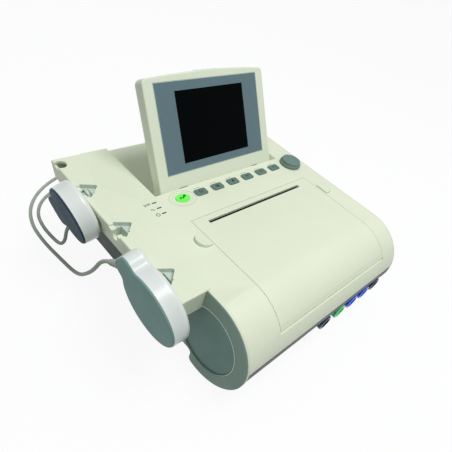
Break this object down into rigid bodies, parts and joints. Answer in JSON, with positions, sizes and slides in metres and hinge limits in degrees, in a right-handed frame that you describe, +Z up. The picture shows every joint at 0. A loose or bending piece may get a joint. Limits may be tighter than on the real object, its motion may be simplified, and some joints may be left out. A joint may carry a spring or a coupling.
{
  "type": "fetal monitor",
  "caption": "Desktop fetal monitor with tilting display, key row, jog knob, paper recorder drawer, socket row and a side shelf with hung transducers on coiled cables.",
  "frame": {"origin": "middle of the bounding box of everything but the two transducer cables, on the surface the feet stand on", "axes": "+X to the user's right, -Y to the front where the sockets are, +Z up"},
  "size_m": [0.4128, 0.4486, 0.2304],
  "materials": {
    "shell": "fine moulded texture, pale cream green",
    "side_panel": "fine moulded texture, dark grey green",
    "lower_cover": "fine moulded texture, dark",
    "foot_rubber": "matt",
    "steel": "satin",
    "key_grey": "satin, teal grey",
    "key_green": "satin, bright green",
    "board": "solder resist",
    "lamp": "translucent",
    "lens": "translucent, light blue",
    "window": "gloss, blue grey",
    "lcd": "anti-glare, dark",
    "display_housing": "fine moulded texture",
    "bin_plastic": "satin",
    "paper": "matt, faint grid",
    "roller_rubber": "matt",
    "gear_nylon": "satin",
    "motor_can": "satin",
    "head_metal": "satin",
    "socket_dark": "gloss",
    "socket_blue": "gloss",
    "socket_green": "gloss",
    "black_plastic": "satin",
    "cell_wrap": "shrink wrap",
    "speaker_metal": "satin",
    "transducer": "satin, off white",
    "rear_face": "satin, slate",
    "front_face": "satin, grey green",
    "crystal": "matt",
    "relief_rubber": "matt",
    "cable": "satin jacket",
    "plug": "satin"
  },
  "bodies": {
    "case": {"top_cover": "shell", "bottom_cover": "lower_cover", "left_side_panel": "side_panel", "right_side_panel": "side_panel", "rear_panel": "lower_cover", "feet": "foot_rubber", "case_screws": "steel", "key_board": "board", "lamp_lenses": "lamp", "encoder_body": "head_metal", "hinge_brackets": "steel", "paper_bin": "bin_plastic", "paper_pack": "paper", "printer_motor": "motor_can", "print_head": "head_metal", "socket_panel": "lower_cover", "toco_socket": "socket_green", "ultrasound_sockets": "socket_blue", "auxiliary_sockets": "socket_dark", "inlet_and_switch": "black_plastic", "main_board": "board", "power_supply": "board", "battery_pack": "cell_wrap", "speaker": "speaker_metal", "rear_cable": "cable", "rear_cable_coil": "cable", "rear_cable_plug": "plug", "front_cable": "cable", "front_cable_coil": "cable", "front_cable_plug": "plug"},
    "key_1": {"key_1": "key_grey"},
    "key_2": {"key_2": "key_grey"},
    "key_3": {"key_3": "key_grey"},
    "key_4": {"key_4": "key_grey"},
    "key_5": {"key_5": "key_grey"},
    "key_6": {"key_6": "key_grey"},
    "start_key": {"start_key": "key_green"},
    "knob_spindle": {"knob_shaft": "steel"},
    "knob": {"knob": "key_grey"},
    "display": {"display_bezel": "display_housing", "display_back": "display_housing", "display_window": "window", "lcd_module": "lcd", "alarm_lens": "lens"},
    "drawer": {"drawer_cover": "shell"},
    "platen": {"platen_roller": "roller_rubber"},
    "pinion": {"drive_gear": "gear_nylon"},
    "latch_left": {"latch_left": "shell"},
    "latch_right": {"latch_right": "shell"},
    "power_rocker": {"power_rocker": "black_plastic"},
    "rear_transducer": {"rear_transducer_shell": "transducer", "rear_transducer_face": "rear_face", "rear_transducer_element": "crystal", "rear_belt_button": "transducer", "rear_strain_relief": "relief_rubber"},
    "front_transducer": {"front_transducer_shell": "transducer", "front_transducer_face": "front_face", "front_transducer_element": "crystal", "front_belt_button": "transducer", "front_strain_relief": "relief_rubber"}
  },
  "joints": [
    {"name": "key_1_press", "type": "slide", "parent": "case", "child": "key_1", "axis": [0, 0, -1], "range_m": [0, 0.0009], "stiffness_N_per_m": 1500},
    {"name": "key_2_press", "type": "slide", "parent": "case", "child": "key_2", "axis": [0, 0, -1], "range_m": [0, 0.0009], "stiffness_N_per_m": 1500},
    {"name": "key_3_press", "type": "slide", "parent": "case", "child": "key_3", "axis": [0, 0, -1], "range_m": [0, 0.0009], "stiffness_N_per_m": 1500},
    {"name": "key_4_press", "type": "slide", "parent": "case", "child": "key_4", "axis": [0, 0, -1], "range_m": [0, 0.0009], "stiffness_N_per_m": 1500},
    {"name": "key_5_press", "type": "slide", "parent": "case", "child": "key_5", "axis": [0, 0, -1], "range_m": [0, 0.0009], "stiffness_N_per_m": 1500},
    {"name": "key_6_press", "type": "slide", "parent": "case", "child": "key_6", "axis": [0, 0, -1], "range_m": [0, 0.0009], "stiffness_N_per_m": 1500},
    {"name": "start_key_press", "type": "slide", "parent": "case", "child": "start_key", "axis": [0, 0, -1], "range_m": [0, 0.0009], "stiffness_N_per_m": 1500},
    {"name": "knob_press", "type": "slide", "parent": "case", "child": "knob_spindle", "axis": [0, 0, -1], "range_m": [0, 0.0006], "stiffness_N_per_m": 2000},
    {"name": "knob_turn", "type": "hinge", "parent": "knob_spindle", "child": "knob", "pos_m": [0.15138, 0.02175, 0.118], "axis": [0, 0, 1], "continuous": true},
    {"name": "display_tilt", "type": "hinge", "parent": "case", "child": "display", "pos_m": [0.03138, 0.04879, 0.11], "axis": [1, 0, 0], "range_deg": [-59.2, 15]},
    {"name": "drawer_open", "type": "hinge", "parent": "case", "child": "drawer", "pos_m": [0.03938, -0.15975, 0.093], "axis": [1, 0, 0], "range_deg": [0, 95]},
    {"name": "platen_turn", "type": "hinge", "parent": "drawer", "child": "platen", "pos_m": [0.03638, -0.02985, 0.105], "axis": [1, 0, 0], "continuous": true},
    {"name": "pinion_turn", "type": "hinge", "parent": "case", "child": "pinion", "pos_m": [0.12018, -0.02985, 0.091], "axis": [1, 0, 0], "continuous": true},
    {"name": "latch_left_press", "type": "slide", "parent": "case", "child": "latch_left", "axis": [0, 0, -1], "range_m": [0, 0.0025], "stiffness_N_per_m": 1500},
    {"name": "latch_right_press", "type": "slide", "parent": "case", "child": "latch_right", "axis": [0, 0, -1], "range_m": [0, 0.0025], "stiffness_N_per_m": 1500},
    {"name": "power_rocker_throw", "type": "hinge", "parent": "case", "child": "power_rocker", "pos_m": [0.06863, 0.16775, 0.057], "axis": [1, 0, 0], "range_deg": [0, 18]},
    {"name": "rear_transducer_lift", "type": "slide", "parent": "case", "child": "rear_transducer", "axis": [-0.2924, 0, 0.9563], "range_m": [0, 0.024]},
    {"name": "front_transducer_lift", "type": "slide", "parent": "case", "child": "front_transducer", "axis": [-0.2028, 0, 0.9792], "range_m": [0, 0.024]}
  ],
  "couplings": [
    {"joint": "pinion_turn", "follows": "platen_turn", "ratio": -1.3333}
  ]
}
